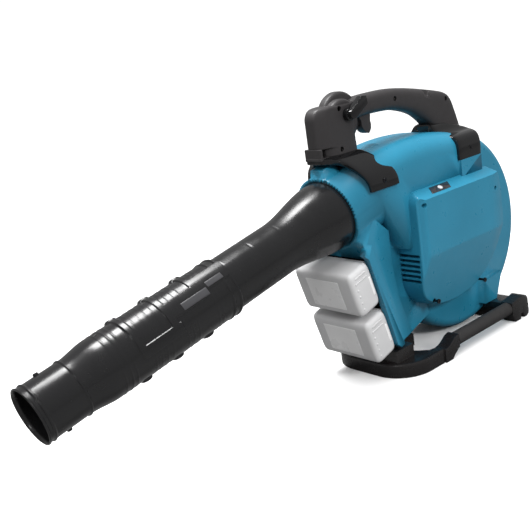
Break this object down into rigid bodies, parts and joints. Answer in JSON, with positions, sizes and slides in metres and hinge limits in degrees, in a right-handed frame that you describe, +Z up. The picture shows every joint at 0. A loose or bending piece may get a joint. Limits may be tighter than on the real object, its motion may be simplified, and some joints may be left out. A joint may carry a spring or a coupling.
{
  "type": "handheld leaf blower",
  "caption": "Hand-held cordless leaf blower with telescopic nozzle, slide-on battery packs, top handle, side controller cover, hinged intake grille and floor stand.",
  "frame": {"origin": "on the floor, under the middle of the machine's bounding box", "axes": "-Y ahead along the nozzle, +Y rear, +X the operator's left, +Z up"},
  "size_m": [0.174, 0.9309, 0.429],
  "materials": {
    "casing": "satin moulded teal",
    "tube_black": "satin",
    "grip_grey": "fine texture",
    "gloss_black": "gloss",
    "stand_black": "satin",
    "seal_rubber": "matte",
    "pack_grey": "satin",
    "steel": "brushed",
    "aluminium": "die cast",
    "gauge_black": "gloss"
  },
  "bodies": {
    "machine": {"housing_left": "casing", "housing_right": "casing", "outlet_seal": "seal_rubber", "controller_cover": "casing", "controller_unit": "aluminium", "gauge_lens": "gauge_black", "gauge_board": "gauge_black", "fan_plate": "stand_black", "bearing_front": "steel", "bearing_rear": "steel", "motor_stator": "steel", "motor_cap": "stand_black", "battery_plate": "stand_black", "terminal_upper": "stand_black", "terminal_lower": "stand_black", "handle_left": "grip_grey", "handle_right": "grip_grey", "arm_front": "gloss_black", "arm_rear": "gloss_black", "trigger_pin": "steel", "switch": "stand_black", "intake_hinge_pin": "steel", "latch_pin": "steel", "stand": "stand_black", "grip_left": "grip_grey", "grip_right": "grip_grey", "cover_screws": "steel", "arm_screws": "steel", "handle_screws": "steel", "stand_screws": "steel"},
    "tube": {"nozzle_rear": "tube_black"},
    "sleeve": {"nozzle_front": "tube_black"},
    "fan": {"motor_rotor": "steel", "motor_shaft": "steel", "fan_wheel": "stand_black", "fan_nut": "steel"},
    "intake_door": {"intake_cover": "stand_black"},
    "intake_catch": {"intake_latch": "stand_black"},
    "pack_upper": {"pack_upper_case": "pack_grey", "pack_upper_lid": "pack_grey", "pack_upper_cells": "steel"},
    "pack_upper_release": {"pack_upper_button": "pack_grey"},
    "pack_lower": {"pack_lower_case": "pack_grey", "pack_lower_lid": "pack_grey", "pack_lower_cells": "steel"},
    "pack_lower_release": {"pack_lower_button": "pack_grey"},
    "trigger": {"trigger": "grip_grey"},
    "cruise_lever": {"cruise_lever": "gloss_black"},
    "gauge_button": {"check_button": "gauge_black"}
  },
  "joints": [
    {"name": "tube_twist", "type": "hinge", "parent": "machine", "child": "tube", "pos_m": [0, 0.031, 0.262], "axis": [0, -0.9781, -0.2079], "range_deg": [0, 30]},
    {"name": "nozzle_slide", "type": "slide", "parent": "tube", "child": "sleeve", "axis": [0, 0.9781, 0.2079], "range_m": [0, 0.1]},
    {"name": "fan_spin", "type": "hinge", "parent": "machine", "child": "fan", "pos_m": [0, 0.285, 0.165], "axis": [1, 0, 0], "continuous": true},
    {"name": "intake_hinge", "type": "hinge", "parent": "machine", "child": "intake_door", "pos_m": [-0.069, 0.374, 0.165], "axis": [0, 0, -1], "range_deg": [0, 110]},
    {"name": "catch_pivot", "type": "hinge", "parent": "machine", "child": "intake_catch", "pos_m": [-0.071, 0.194, 0.165], "axis": [0, 0, 1], "range_deg": [0, 30], "stiffness_Nm_per_rad": 0.05},
    {"name": "pack_upper_slide", "type": "slide", "parent": "machine", "child": "pack_upper", "axis": [-1, 0, 0], "range_m": [0, 0.12]},
    {"name": "pack_lower_slide", "type": "slide", "parent": "machine", "child": "pack_lower", "axis": [-1, 0, 0], "range_m": [0, 0.12]},
    {"name": "pack_upper_press", "type": "slide", "parent": "pack_upper", "child": "pack_upper_release", "axis": [1, 0, 0], "range_m": [0, 0.002], "stiffness_N_per_m": 400},
    {"name": "pack_lower_press", "type": "slide", "parent": "pack_lower", "child": "pack_lower_release", "axis": [1, 0, 0], "range_m": [0, 0.002], "stiffness_N_per_m": 400},
    {"name": "trigger_pull", "type": "hinge", "parent": "machine", "child": "trigger", "pos_m": [0, 0.112, 0.399], "axis": [-1, 0, 0], "range_deg": [0, 20], "stiffness_Nm_per_rad": 0.8, "springref_deg": -5.73},
    {"name": "cruise_turn", "type": "hinge", "parent": "machine", "child": "cruise_lever", "pos_m": [0.02, 0.078, 0.397], "axis": [-1, 0, 0], "range_deg": [0, 80]},
    {"name": "gauge_press", "type": "slide", "parent": "machine", "child": "gauge_button", "axis": [-0.4642, 0, -0.8857], "range_m": [0, 0.0006], "stiffness_N_per_m": 600}
  ]
}
